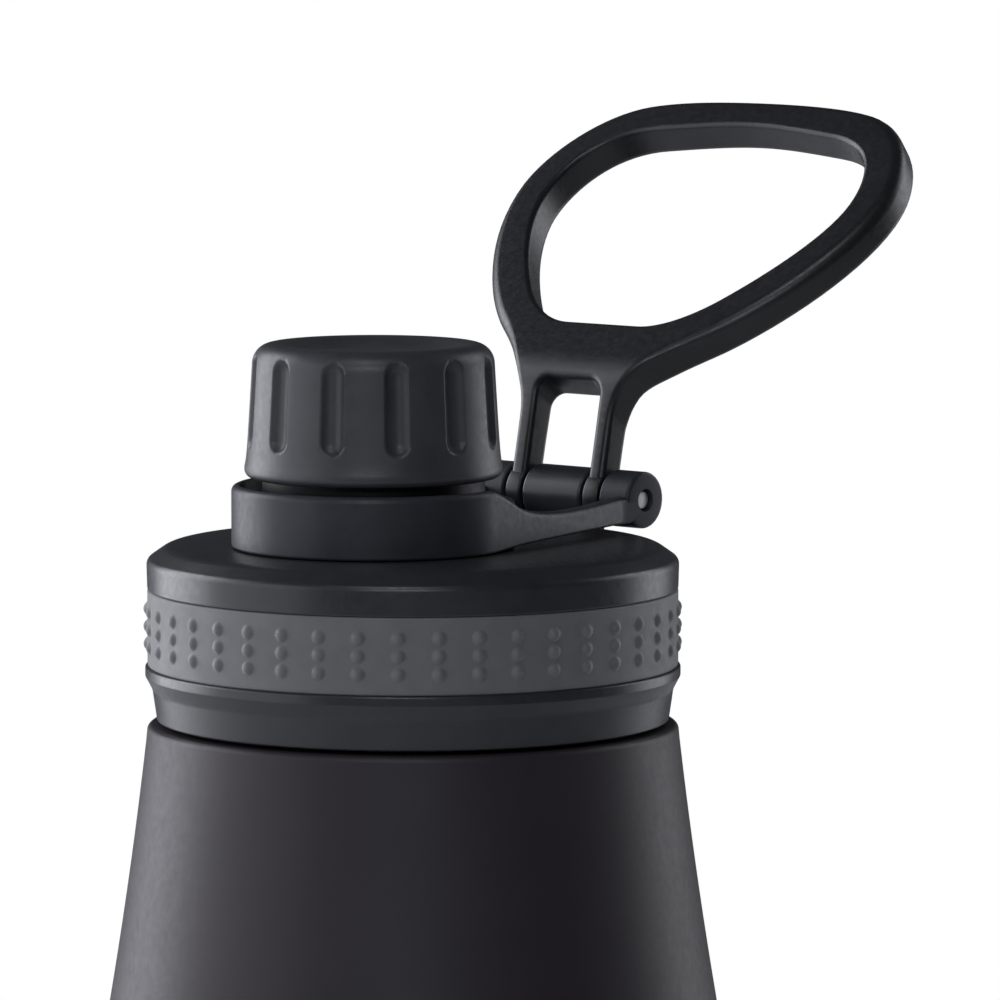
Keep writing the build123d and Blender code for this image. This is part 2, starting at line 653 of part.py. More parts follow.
PARTS = {
    "outer_shell": make_outer_shell,
    "inner_vessel": make_inner_vessel,
    "radiation_foil": make_radiation_foil,
    "outer_base": make_outer_base,
    "vacuum_plug": make_vacuum_plug,
    "getter": make_getter,
    "base_cover": make_base_cover,
    "lid_cover": make_lid_cover,
    "lid_liner": make_lid_liner,
    "lid_gasket": make_lid_gasket,
    "lid_insulation": make_lid_insulation,
    "grip_band": make_grip_band,
    "spout": make_spout,
    "hinge_pin": make_hinge_pin,
    "hinge_collar": make_hinge_collar,
    "carry_handle": make_carry_handle,
    "cap_shell": make_cap_shell,
    "cap_liner": make_cap_liner,
    "cap_gasket": make_cap_gasket,
    "cap_retaining_ring": make_cap_retaining_ring,
}


def main():
    os.makedirs("parts", exist_ok=True)
    for name, make in PARTS.items():
        export_step(make(), f"parts/{name}.step")


if __name__ == "__main__":
    main()
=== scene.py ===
"""Looks for the insulated water bottle: meshes, materials, studio light and camera.

Lengths in the geometry code are millimetres in the CAD frame; meshes are stored in metres.
"""

import json
from math import atan2, cos, hypot, pi, radians, sin, sqrt, tan

import bmesh
import bpy
from mathutils import Matrix, Vector


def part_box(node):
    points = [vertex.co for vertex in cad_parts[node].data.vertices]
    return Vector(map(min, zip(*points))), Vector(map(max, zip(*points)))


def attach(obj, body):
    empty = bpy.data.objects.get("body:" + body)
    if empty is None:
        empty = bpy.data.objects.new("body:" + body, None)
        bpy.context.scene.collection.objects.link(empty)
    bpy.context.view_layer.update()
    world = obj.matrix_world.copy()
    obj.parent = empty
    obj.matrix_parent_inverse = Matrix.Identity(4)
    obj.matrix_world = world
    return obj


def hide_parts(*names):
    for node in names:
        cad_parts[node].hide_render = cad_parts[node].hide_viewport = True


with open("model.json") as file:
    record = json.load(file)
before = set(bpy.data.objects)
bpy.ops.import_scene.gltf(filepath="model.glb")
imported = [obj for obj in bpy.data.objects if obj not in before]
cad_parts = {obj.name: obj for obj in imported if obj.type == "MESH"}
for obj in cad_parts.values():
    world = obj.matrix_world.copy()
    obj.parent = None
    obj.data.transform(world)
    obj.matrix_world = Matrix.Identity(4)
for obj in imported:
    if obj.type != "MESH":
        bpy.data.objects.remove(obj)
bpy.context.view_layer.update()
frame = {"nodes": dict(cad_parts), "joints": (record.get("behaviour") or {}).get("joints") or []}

MM = 0.001
TAU = 2 * pi


# ---- Sizes read from the frame ------------------------------------------------------------------
def span(node):
    """Lowest and highest corner of a CAD node, in millimetres."""
    low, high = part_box(node)
    return low / MM, high / MM


def joint(name):
    """Point on a joint's axis, in millimetres."""
    found = next(j for j in frame["joints"] if j["name"] == name)
    return Vector(found["pos_m"]) / MM


HINGE = joint("collar_swing")
SPOUT_Y = joint("cap_turn").y

shell_high = span("outer_shell")[1]
BODY_R = shell_high.x
NECK_TOP = shell_high.z
cover_low, cover_high = span("lid_cover")
FLANGE_R = cover_high.x
SKIRT_LOW = cover_low.z
band_low, band_high = span("grip_band")
BAND_R = band_high.x
collar_low, collar_high = span("hinge_collar")
COLLAR_R = collar_high.x
cap_low, cap_high = span("cap_shell")
CAP_R = cap_high.x
CAP_WALL_R = span("cap_liner")[1].x
retainer_high = span("cap_retaining_ring")[1]
spout_low, spout_high = span("spout")
pin_low, pin_high = span("hinge_pin")
PIN_R = (pin_high.z - pin_low.z) / 2
KNUCKLE_R = collar_high.y - HINGE.y
KNUCKLE_START = 8.2      # the collar's knuckles reach from here to KNUCKLE_END on both sides
KNUCKLE_END = 13.1
BOSS_HALF = 4.9          # half the width of the lid's own knuckle
EYE_BORE_R = PIN_R + 0.08
PLATEAU = collar_low.z - 0.1   # the collar lies this close to the lid's flat top


# ---- Mesh helpers -------------------------------------------------------------------------------
def mesh_object(name, verts, faces, smooth_deg=35.0):
    """Object from millimetre vertices, smooth except where faces meet at more than smooth_deg."""
    mesh = bpy.data.meshes.new(name)
    mesh.from_pydata([Vector(v) * MM for v in verts], [], faces)
    obj = bpy.data.objects.new(name, mesh)
    bpy.context.scene.collection.objects.link(obj)
    tidy(obj, smooth_deg)
    return obj


def tidy(obj, smooth_deg=35.0, merge=0.002):
    """Merges doubles, points the normals outwards and sets smooth shading with sharp edges."""
    build = bmesh.new()
    build.from_mesh(obj.data)
    bmesh.ops.remove_doubles(build, verts=build.verts, dist=merge * MM)
    bmesh.ops.dissolve_degenerate(build, dist=merge * MM, edges=build.edges)
    bmesh.ops.recalc_face_normals(build, faces=build.faces)
    build.to_mesh(obj.data)
    build.free()
    obj.data.validate()
    obj.data.polygons.foreach_set("use_smooth", [True] * len(obj.data.polygons))
    obj.data.set_sharp_from_angle(angle=radians(smooth_deg))


def weigh_normals(obj):
    """Flat faces keep their own normals, so that narrow rounded edges read as rounded edges."""
    weigh = obj.modifiers.new("weighted_normals", "WEIGHTED_NORMAL")
    weigh.keep_sharp = True
    weigh.weight = 60


def evenly(low, high, count):
    """Count heights from low to high, both ends included."""
    return [low + (high - low) * i / (count - 1) for i in range(count)]


def ease(share):
    """Smooth step from 0 to 1."""
    share = min(1.0, max(0.0, share))
    return share * share * (3 - 2 * share)


def soften(points, steps=6):
    """Outline points (x, y) or (x, y, radius): corners with a radius become arcs."""
    out = []
    count = len(points)
    for i, point in enumerate(points):
        here = Vector(point[:2])
        radius = point[2] if len(point) > 2 else 0.0
        before = Vector(points[i - 1][:2]) - here
        after = Vector(points[(i + 1) % count][:2]) - here
        if radius <= 0 or before.length < 1e-6 or after.length < 1e-6:
            out.append(here)
            continue
        before.normalize()
        after.normalize()
        corner = before.angle(after)
        reach = radius / tan(corner / 2)
        centre = here + (before + after).normalized() * (radius / sin(corner / 2))
        start = here + before * reach - centre
        left = before.x * after.y - before.y * after.x > 0
        turn = (corner - pi) if left else (pi - corner)
        for step in range(steps + 1):
            angle = turn * step / steps
            c, s = cos(angle), sin(angle)
            out.append(centre + Vector((start.x * c - start.y * s, start.x * s + start.y * c)))
    return out


def divide(outline, longest):
    """The closed outline with every edge cut into pieces no longer than longest."""
    out = []
    for i, start in enumerate(outline):
        end = outline[(i + 1) % len(outline)]
        pieces = max(1, int((end - start).length / longest + 0.99))
        out += [start.lerp(end, k / pieces) for k in range(pieces)]
    return out


def lathe(name, outline, centre=(0.0, 0.0), segments=192, shape=None, smooth_deg=35.0):
    """Solid of revolution about a vertical axis. shape(r, z, angle) may change a point's radius."""
    verts, faces = [], []
    rows = len(outline)
    for i in range(segments):
        angle = TAU * i / segments
        for r, z in outline:
            radius = shape(r, z, angle) if shape else r
            verts.append((centre[0] + radius * cos(angle), centre[1] + radius * sin(angle), z))
    for i in range(segments):
        j = (i + 1) % segments
        for k in range(rows):
            m = (k + 1) % rows
            faces.append((i * rows + k, j * rows + k, j * rows + m, i * rows + m))
    return mesh_object(name, verts, faces, smooth_deg)


def along_x(name, outline, centre, segments=96, side=1):
    """Solid of revolution about a line along X through centre, from (radius, x) points."""
    obj = lathe(name, [(r, side * x) for r, x in outline], segments=segments)
    turn = Matrix.Rotation(radians(90), 4, "Y")
    obj.data.transform(Matrix.Translation(Vector(centre) * MM) @ turn)
    return obj


def sweep(name, rings, smooth_deg=35.0):
    """Solid through equal rings of points, closed by a flat face at both ends."""
    size = len(rings[0])
    last = (len(rings) - 1) * size
    verts = [point for ring in rings for point in ring]
    faces = []
    for start in range(0, last, size):
        for k in range(size):
            m = (k + 1) % size
            faces.append((start + k, start + m, start + size + m, start + size + k))
    faces.append(tuple(range(size)))
    faces.append(tuple(last + k for k in range(size)))
    return mesh_object(name, verts, faces, smooth_deg)


def ridge(name, section, lead, start, span_deg, centre_y=0.0, steps=96):
    """Helical ridge from (radius, height) section points, its ends tapered to nothing."""
    rings = []
    from_deg, from_z = start
    root = min(r for r, _ in section) if section[1][0] > section[0][0] else max(r for r, _ in section)
    for i in range(steps + 1):
        share = i / steps
        angle = radians(from_deg + span_deg * share)
        rise = from_z + lead * span_deg * share / 360
        fade = min(1.0, 8 * min(share, 1 - share) + 0.02)
        squeeze = 0.4 + 0.6 * fade
        ring = []
        for r, z in section:
            radius = root + (r - root) * fade
            ring.append((radius * cos(angle), centre_y + radius * sin(angle), rise + z * squeeze))
        rings.append(ring)
    return sweep(name, rings, 50)


def combine(target, other, how="UNION"):
    """Applies a boolean of other to target and removes other."""
    cut = target.modifiers.new("combine", "BOOLEAN")
    cut.operation = how
    cut.solver = "EXACT"
    cut.object = other
    graph = bpy.context.evaluated_depsgraph_get()
    result = bpy.data.meshes.new_from_object(target.evaluated_get(graph))
    target.modifiers.clear()
    old = target.data
    target.data = result
    bpy.data.meshes.remove(old)
    bpy.data.objects.remove(other)
    return target


def join(name, objects):
    """One object from several separate closed shells."""
    build = bmesh.new()
    for obj in objects:
        build.from_mesh(obj.data)
        bpy.data.objects.remove(obj)
    mesh = bpy.data.meshes.new(name)
    build.to_mesh(mesh)
    build.free()
    joined = bpy.data.objects.new(name, mesh)
    bpy.context.scene.collection.objects.link(joined)
    return joined


# ---- Materials ----------------------------------------------------------------------------------
class Finish:
    """A Principled material whose nodes are added one by one."""

    def __init__(self, name, base, roughness, specular=0.5, metallic=0.0):
        self.material = bpy.data.materials.new(name)
        self.material.use_nodes = True
        self.tree = self.material.node_tree
        self.shader = self.tree.nodes["Principled BSDF"]
        self.shader.inputs["Base Color"].default_value = (*base, 1)
        self.shader.inputs["Roughness"].default_value = roughness
        self.shader.inputs["Specular IOR Level"].default_value = specular
        self.shader.inputs["Metallic"].default_value = metallic
        self.base = base
        self.bump_height = None

    def node(self, kind, **values):
        made = self.tree.nodes.new(kind)
        for key, value in values.items():
            setattr(made, key, value)
        return made

    def link(self, output, target):
        self.tree.links.new(output, target)

    def coordinates(self):
        return self.node("ShaderNodeTexCoord").outputs["Object"]

    def noise(self, size_mm, detail=2.0, stretch=(1, 1, 1)):
        """Noise in object space whose features are about size_mm across."""
        place = self.node("ShaderNodeMapping")
        place.inputs["Scale"].default_value = stretch
        self.link(self.coordinates(), place.inputs["Vector"])
        made = self.node("ShaderNodeTexNoise")
        made.inputs["Scale"].default_value = 1 / (size_mm * MM)
        made.inputs["Detail"].default_value = detail
        self.link(place.outputs["Vector"], made.inputs["Vector"])
        return made.outputs["Fac"]

    def spread(self, value, low, high):
        """Maps a 0..1 value to low..high."""
        made = self.node("ShaderNodeMapRange")
        made.inputs["From Min"].default_value = 0.3
        made.inputs["From Max"].default_value = 0.7
        made.inputs["To Min"].default_value = low
        made.inputs["To Max"].default_value = high
        self.link(value, made.inputs["Value"])
        return made.outputs["Result"]

    def vary_roughness(self, value, low, high):
        self.link(self.spread(value, low, high), self.shader.inputs["Roughness"])

    def vary_colour(self, value, other):
        mix = self.node("ShaderNodeMix", data_type="RGBA")
        mix.inputs["A"].default_value = (*self.base, 1)
        mix.inputs["B"].default_value = (*other, 1)
        self.link(self.spread(value, 0, 1), mix.inputs["Factor"])
        self.link(mix.outputs["Result"], self.shader.inputs["Base Color"])

    def bump(self, value, depth_mm, strength=1.0):
        """Adds a layer of relief."""
        made = self.node("ShaderNodeBump")
        made.inputs["Distance"].default_value = depth_mm * MM
        made.inputs["Strength"].default_value = strength
        self.link(value, made.inputs["Height"])
        if self.bump_height is not None:
            self.link(self.bump_height, made.inputs["Normal"])
        self.bump_height = made.outputs["Normal"]
        self.link(self.bump_height, self.shader.inputs["Normal"])


def powder_coat():
    finish = Finish("powder_coat", (0.0225, 0.0175, 0.0222), 0.48, specular=0.35)
    finish.vary_colour(finish.noise(9, 3), (0.0255, 0.02, 0.0252))
    finish.vary_roughness(finish.noise(1.1, 3), 0.45, 0.52)
    finish.bump(finish.noise(0.42, 2), 0.02, 0.5)
    return finish.material


def moulded(name, base, roughness, grain_mm=0.35, relief_mm=0.012, specular=0.5):
    """Moulded plastic with a fine spark-eroded grain."""
    finish = Finish(name, base, roughness, specular)
    lighter = tuple(channel * 1.25 for channel in base)
    finish.vary_colour(finish.noise(4, 3), lighter)
    finish.vary_roughness(finish.noise(0.8, 3), roughness - 0.05, roughness + 0.06)
    finish.bump(finish.noise(grain_mm, 2), relief_mm, 0.6)
    return finish.material


def silicone(name, base, roughness=0.55, sheen=0.0):
    finish = Finish(name, base, roughness, specular=0.4)
    finish.shader.inputs["Sheen Weight"].default_value = sheen
    finish.vary_colour(finish.noise(2.5, 4), tuple(channel * 1.12 for channel in base))
    finish.vary_roughness(finish.noise(1.3, 3), roughness - 0.06, roughness + 0.08)
    finish.bump(finish.noise(0.25, 2), 0.008, 0.5)
    return finish.material


def steel(name, base=(0.62, 0.62, 0.63), roughness=0.24, stretch=(1, 1, 14)):
    """Brushed steel: fine scratches across the stretched axis."""
    finish = Finish(name, base, roughness, metallic=1.0)
    lines = finish.noise(1.6, 4, stretch)
    finish.vary_roughness(lines, roughness - 0.06, roughness + 0.12)
    finish.vary_colour(finish.noise(6, 2), tuple(channel * 0.9 for channel in base))
    finish.bump(lines, 0.004, 0.5)
    return finish.material


def foam():
    finish = Finish("foam", (0.75, 0.75, 0.72), 0.9)
    cells = finish.node("ShaderNodeTexVoronoi")
    cells.inputs["Scale"].default_value = 1 / (1.2 * MM)
    finish.link(finish.coordinates(), cells.inputs["Vector"])
    finish.bump(cells.outputs["Distance"], 0.15)
    finish.vary_colour(finish.noise(3, 3), (0.66, 0.66, 0.63))
    return finish.material


materials = {
    "coat": powder_coat(),
    "lid": moulded("lid_plastic", (0.02, 0.0203, 0.0235), 0.33),
    "collar": moulded("collar_plastic", (0.026, 0.0265, 0.033), 0.42, specular=0.3),
    "cap": moulded("cap_plastic", (0.036, 0.0365, 0.041), 0.42, grain_mm=0.45, relief_mm=0.016),
    "handle": moulded("handle_plastic", (0.0105, 0.0105, 0.012), 0.36),
    "liner": moulded("liner_plastic", (0.03, 0.03, 0.033), 0.4),
    # The sleeve's near-black colour is painted shade: it stands for the dark gap between cap and
    # collar, where the sleeve lies in shade.
    "shaded_gap_sleeve": moulded("sleeve_painted_shade", (0.004, 0.004, 0.0045), 0.5, specular=0.2),
    "band": silicone("band_silicone", (0.12, 0.12, 0.123), sheen=0.25),
    "seal": silicone("seal_silicone", (0.62, 0.62, 0.6), 0.4),
    "steel": steel("bare_steel"),
    "base": steel("base_steel", (0.56, 0.56, 0.57), 0.3, (1, 14, 1)),
    "pin": steel("pin_steel", (0.86, 0.85, 0.82), 0.45, (14, 1, 1)),
    "copper": steel("copper_foil", (0.72, 0.38, 0.24), 0.28, (1, 1, 6)),
    "solder": steel("sealing_metal", (0.42, 0.42, 0.41), 0.45, (1, 1, 1)),
    "foam": foam(),
}


def paint(obj, name):
    obj.data.materials.clear()
    obj.data.materials.append(materials[name])


def place(obj, body, material, slot, *nodes, smooth=True):
    """Finishes a piece: material, body and the CAD nodes that it stands for. The slot argument is not
    used.
    """
    paint(obj, material)
    if smooth:
        weigh_normals(obj)
    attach(obj, body)
    if nodes:
        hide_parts(*nodes)


# ---- Bottle -------------------------------------------------------------------------------------
SHOULDER_Z = 104.0
SHOULDER_SLOPE = 10.5
CONVEX_R = 257.0
CONCAVE_R = 645.0
SHOULDER_TOP = 195.2
LEDGE = 196.0
FOOT_ROUND = 3.5
FOOT_BORE = span("outer_base")[1].x
BASE_RECESS = 2.4        # underside of the closing plate above the floor
WALL = 0.7
NECK_R = 28.3


def shoulder(z):
    """Outer radius of the body at height z, from the straight side to the ledge."""
    lean = radians(SHOULDER_SLOPE)
    flex_z = SHOULDER_Z + CONVEX_R * sin(lean)
    if z <= SHOULDER_Z:
        return BODY_R
    if z <= flex_z:
        return BODY_R - CONVEX_R + sqrt(CONVEX_R**2 - (z - SHOULDER_Z) ** 2)
    flex_r = BODY_R - CONVEX_R * (1 - cos(lean))
    centre_r = flex_r + CONCAVE_R * cos(lean)
    centre_z = flex_z + CONCAVE_R * sin(lean)
    return centre_r - sqrt(CONCAVE_R**2 - (centre_z - z) ** 2)


def make_bottle_body():
    side = [(shoulder(z), z) for z in evenly(SHOULDER_Z, SHOULDER_TOP - 1.2, 47)]
    top_r = shoulder(SHOULDER_TOP)
    outline = soften(
        [
            (FOOT_BORE, 0.0),
            (BODY_R, 0.0, FOOT_ROUND),
            (BODY_R, 30.0),
            (BODY_R, 70.0),
            *side,
            (top_r - 0.05, LEDGE, 0.8),
            (NECK_R - 0.1, LEDGE),
            (NECK_R - 0.1, LEDGE - WALL),
            (top_r - WALL - 0.4, LEDGE - WALL),
            *[(r - WALL, z) for r, z in reversed(side)],
            (BODY_R - WALL, FOOT_ROUND + 1),
            (FOOT_BORE, BASE_RECESS),
        ],
        steps=8,
    )
    body = lathe("bottle_body", outline, segments=288)
    place(body, "bottle", "coat", "powder_coat", "outer_shell")


NECK_THREAD_PITCH = 4.0
NECK_THREAD_Z = 200.6    # centre of the thread at its lower end
NECK_THREAD_TURN = 450.0


def make_neck():
    """Bare steel neck with the lid's thread on it."""
    low = LEDGE - 0.3
    outline = soften([
        (NECK_R - WALL, low),
        (NECK_R + 0.9, low),
        (NECK_R + 0.5, LEDGE + 0.5, 0.4),
        (NECK_R, LEDGE + 1.0, 0.6),
        (NECK_R, NECK_TOP),
        (NECK_R - WALL, NECK_TOP),
    ])
    neck = lathe("bottle_neck", outline, segments=192)
    section = [(NECK_R - 0.25, -1.2), (NECK_R + 1.0, -0.6), (NECK_R + 1.2, -0.3),
               (NECK_R + 1.2, 0.3), (NECK_R + 1.0, 0.6), (NECK_R - 0.25, 1.2)]
    start = (0.0, NECK_THREAD_Z)
    thread = ridge("neck_thread", section, NECK_THREAD_PITCH, start, NECK_THREAD_TURN, steps=300)
    place(join("bottle_neck_finish", [neck, thread]), "bottle", "steel", "bare_steel")


# ---- Lid ----------------------------------------------------------------------------------------
DOME_R = 34.1
BAND_SEAT_R = BAND_R - 1.7
LID_BORE_R = span("lid_liner")[1].x
LID_TOP_T = 2.2
SPOUT_HOLE_R = 9.8


def make_lid_shell():
    """Skirt, flange, band seat, dome, flat top with the spout's hole, and the lid's knuckle."""
    band_z, band_top = band_low.z, band_high.z
    roof = PLATEAU - LID_TOP_T
    outline = soften([
        (LID_BORE_R, SKIRT_LOW),
        (32.8, SKIRT_LOW, 0.35),
        (33.4, 200.6, 2.0),
        (FLANGE_R, 202.3, 0.5),
        (FLANGE_R, band_z, 0.3),
        (BAND_SEAT_R, band_z),
        (BAND_SEAT_R, band_top),
        (DOME_R - 0.1, band_top, 0.3),
        (DOME_R, 217.1, 1.1),
        (31.6, 218.85, 3.0),
        (28.5, PLATEAU),
        (24.0, PLATEAU),
        (16.0, PLATEAU),
        (0.0, PLATEAU),
        (0.0, roof),
        (LID_BORE_R - 1, roof),
        (LID_BORE_R, roof - 1),
    ])
    shell = lathe("lid_shell", outline, segments=288)
    below, above = roof - 5, PLATEAU + 5
    hole = [(0.0, below), (SPOUT_HOLE_R, below), (SPOUT_HOLE_R, above), (0.0, above)]
    combine(shell, lathe("hole", hole, (0.0, SPOUT_Y), 96), "DIFFERENCE")
    barrel = along_x("barrel", soften([
        (PIN_R, -BOSS_HALF),
        (KNUCKLE_R, -BOSS_HALF, 0.4),
        (KNUCKLE_R, BOSS_HALF, 0.4),
        (PIN_R, BOSS_HALF),
    ]), HINGE)
    foot = [(HINGE.y - 3.7, PLATEAU - 1.5), (HINGE.y + 1.2, PLATEAU - 1.8),
            (HINGE.y + 2.2, HINGE.z - 1.5), (HINGE.y - 2.6, HINGE.z - 1.2)]
    saddle = prism_x("saddle", foot, -BOSS_HALF, BOSS_HALF)
    combine(shell, saddle)
    combine(shell, barrel)
    tidy(shell, 32)
    place(shell, "lid", "lid", "lid_plastic", "lid_cover")


def prism_x(name, points, low_x, high_x):
    """Block from (y, z) points, between two X planes."""
    count = len(points)
    verts = [(x, y, z) for x in (low_x, high_x) for y, z in points]
    faces = [tuple(range(count)), tuple(range(count, 2 * count))]
    faces += [(i, (i + 1) % count, count + (i + 1) % count, count + i) for i in range(count)]
    return mesh_object(name, verts, faces)


DOT_COLUMNS = 42
DOT_ROWS = (-2.25, 0.0, 2.25)    # heights about the band's middle
DOT_R = 0.86
DOT_H = 0.5
DOT_PHASE = radians(-43.5)       # bearing of one column from the X axis


def make_grip_band():
    """Soft band with columns of raised dots."""
    low, high = band_low.z, band_high.z
    middle = (low + high) / 2 + 0.05
    outline = divide(soften([
        (BAND_SEAT_R, low),
        (BAND_R, low, 0.3),
        (BAND_R, high, 0.3),
        (BAND_SEAT_R, high),
    ]), 0.15)
    sector = TAU / DOT_COLUMNS

    def dotted(r, z, angle):
        if r < BAND_R - 0.01:
            return r
        off = (angle - DOT_PHASE + sector / 2) % sector - sector / 2
        across = off * BAND_R
        away = min(hypot(across, z - middle - row) for row in DOT_ROWS)
        if away >= DOT_R:
            return r
        return r + DOT_H * (1 - (away / DOT_R) ** 2) ** 0.8

    band = lathe("grip_band_dotted", outline, segments=DOT_COLUMNS * 30, shape=dotted, smooth_deg=60)
    place(band, "lid", "band", "band_silicone", "grip_band", smooth=False)


SPOUT_BORE_R = 7.8
SPOUT_R = 9.6
LUG_LEAD = 13.5          # rise of the lugs in a full turn
LUG_FROM = -96.0         # degrees from the X axis to the start of the first lug
LUG_SPAN = 64.0
LUG_Z = 232.7            # height of the lugs' thread at angle zero


def make_spout():
    """Drinking spout with two lugs for the cap."""
    bore, outer = SPOUT_BORE_R, SPOUT_R
    low, top = spout_low.z, spout_high.z
    flange_r = spout_high.x
    outline = soften([
        (bore, low),
        (flange_r, low, 0.2),
        (flange_r, low + 1.5, 0.4),
        (outer, low + 1.5, 0.4),
        (outer, top, 0.9),
        (bore, top, 0.7),
    ])
    tube = lathe("tube", outline, (0.0, SPOUT_Y), 128)
    section = [(outer - 0.3, -0.95), (outer + 1.0, -0.55), (outer + 1.2, -0.3),
               (outer + 1.2, 0.3), (outer + 1.0, 0.55), (outer - 0.3, 0.95)]
    first = LUG_Z + LUG_LEAD * LUG_FROM / 360
    lugs = []
    for turn in (0, 180):
        start = (LUG_FROM + turn, first)
        lugs.append(ridge("lug", section, LUG_LEAD, start, LUG_SPAN, SPOUT_Y, 40))
    place(join("spout_tube", [tube, *lugs]), "lid", "liner", "liner_plastic", "spout")


# ---- Hinge --------------------------------------------------------------------------------------
def make_pin():
    half = pin_high.x
    outline = soften([(0.0, -half), (PIN_R, -half, 0.3), (PIN_R, half, 0.3), (0.0, half)])
    place(along_x("hinge_pin_rod", outline, HINGE, 64), "lid", "pin", "pin_steel", "hinge_pin")


RING_BORE = 16.9
RING_LOW_BORE = 16.4     # under the ledge
RING_T = COLLAR_R - RING_BORE - 0.05
RING_STEP = 0.15         # the rear of the ring stands back from the yoke by this much
REAR_RIM = 225.2
LEDGE_TOP = 225.0
LEDGE_BORE = 14.6
ARM_T = 2.2
ARM_START = Vector((17.89, -4.87))
ARM_KNEE = 26.5          # from here the arms run straight back
THICKEN_FROM = -1.0      # ahead of this the arm is no thicker than the ring's wall
THICKEN_OVER = 5.0
COUNTERBORE_R = 1.5
COUNTERBORE_DEPTH = 0.9

# Upper and lower edge of the yoke from front to back, as (y, height)
ARM_TOPS = [(-7.0, 227.3), (-4.6, 227.3), (-3.6, 227.05), (-0.7, 225.9), (2.4, 224.5),
            (7.2, 223.55), (15.7, 223.15), (25.6, 223.6), (31.0, 223.95)]
ARM_LOWS = [(-7.0, 219.3), (-4.6, 219.35), (3.0, 219.8), (31.0, 220.35)]


def follow(points, y):
    """Height at y of a smooth line through (y, height) points."""
    if y <= points[0][0]:
        return points[0][1]
    slopes = []
    for i in range(len(points)):
        before = points[max(0, i - 1)]
        after = points[min(len(points) - 1, i + 1)]
        slopes.append((after[1] - before[1]) / (after[0] - before[0]))
    for (y0, z0), (y1, z1), m0, m1 in zip(points, points[1:], slopes, slopes[1:]):
        if y <= y1:
            break
    width = y1 - y0
    t = min(1.0, (y - y0) / width)
    u = 1 - t
    return z0 * u * u * (1 + 2 * t) + z1 * t * t * (1 + 2 * u) + width * t * u * (m0 * u - m1 * t)


def yoke_path():
    """Outer line of arm, ring front and arm, right to left: (point, outward normal, thickness)."""
    end = HINGE.y
    knee = Vector((KNUCKLE_END, ARM_KNEE))
    right = [(Vector((KNUCKLE_END, end - i * (end - ARM_KNEE) / 6)), 1.0) for i in range(6)]
    for i in range(64):
        at = knee.lerp(ARM_START, i / 64)
        right.append((at, ease((at.y - THICKEN_FROM) / THICKEN_OVER)))
    tangent = atan2(ARM_START.y - SPOUT_Y, ARM_START.x)
    arc = []
    for i in range(121):
        angle = tangent - (pi + 2 * tangent) * i / 120
        arc.append((Vector((COLLAR_R * cos(angle), SPOUT_Y + COLLAR_R * sin(angle))), 0.0))
    left = [(Vector((-p.x, p.y)), share) for p, share in reversed(right)]
    line = right + arc + left
    out = []
    for i, (at, share) in enumerate(line):
        before = line[max(0, i - 1)][0]
        after = line[min(len(line) - 1, i + 1)][0]
        run = (after - before).normalized()
        out.append((at, Vector((-run.y, run.x)), RING_T + (ARM_T - RING_T) * share))
    return out


def yoke_section(at, out, thick):
    """Upright rounded section of the yoke."""
    top = follow(ARM_TOPS, at.y)
    low = follow(ARM_LOWS, at.y)
    outline = soften([(0.0, low, 0.4), (0.0, top, 0.85), (-thick, top, 0.3), (-thick, low, 0.3)], 6)
    return [(at.x + out.x * depth, at.y + out.y * depth, z) for depth, z in outline]


def make_yoke():
    """Both arms and the high front of the ring, in one sweep."""
    return sweep("yoke", [yoke_section(*station) for station in yoke_path()])


def make_collar():
    """Ring with its inner ledge, the yoke round it, and the knuckles at the arms' ends."""
    low = collar_low.z + 0.1
    ledge = retainer_high.z + 0.1
    outer = COLLAR_R - RING_STEP
    outline = soften([
        (RING_LOW_BORE, low),
        (outer, low, 0.4),
        (outer, REAR_RIM, 0.4),
        (RING_BORE, REAR_RIM, 0.1),
        (RING_BORE, LEDGE_TOP),
        (LEDGE_BORE, LEDGE_TOP, 0.3),
        (LEDGE_BORE, ledge, 0.3),
        (RING_LOW_BORE, ledge),
    ], 6)
    collar = lathe("collar_body", outline, (0.0, SPOUT_Y), 240)
    combine(collar, make_yoke())
    knuckle = soften([
        (0.0, KNUCKLE_START),
        (KNUCKLE_R, KNUCKLE_START, 0.35),
        (KNUCKLE_R, KNUCKLE_END, 0.45),
        (0.0, KNUCKLE_END),
    ])
    bore = [
        (0.0, KNUCKLE_START - 1),
        (EYE_BORE_R, KNUCKLE_START - 1),
        (EYE_BORE_R, KNUCKLE_END - COUNTERBORE_DEPTH),
        (COUNTERBORE_R, KNUCKLE_END - COUNTERBORE_DEPTH),
        (COUNTERBORE_R, KNUCKLE_END + 1),
        (0.0, KNUCKLE_END + 1),
    ]
    for side in (1, -1):
        combine(collar, along_x("knuckle", knuckle, HINGE, side=side))
        combine(collar, along_x("bore", bore, HINGE, side=side), "DIFFERENCE")
    tidy(collar, 32)
    place(collar, "collar", "collar", "collar_plastic", "hinge_collar")


# ---- Cap ----------------------------------------------------------------------------------------
GROOVES = 12
GROOVE_DEPTH = 0.95
GROOVE_R = 1.75
GROOVE_LOW = 233.7
GROOVE_HIGH = 242.3
GROOVE_PHASE = radians(22.3)
GROOVE_PATH_R = 15.7     # radius at which the grooves' width is measured
RIM_H = 1.0              # height of the rounded foot under the side
RIM_ROUND = 1.1
FLANK_TOP = 242.6
CROWN_ROUND = 2.5        # width of the rounding from the side to the top
CAP_ROOF = 242.2         # underside of the top
DISH_R = 11.9
DISH_DEPTH = 1.15


def flank(z):
    """Radius of the cap's slightly swelling side at height z."""
    low = cap_low.z + RIM_H
    share = max(0.0, (z - low) / (FLANK_TOP - low))
    return CAP_R - 0.22 * (1 - 1 / (1 + (z - low) ** 2)) - 0.85 * share**0.9


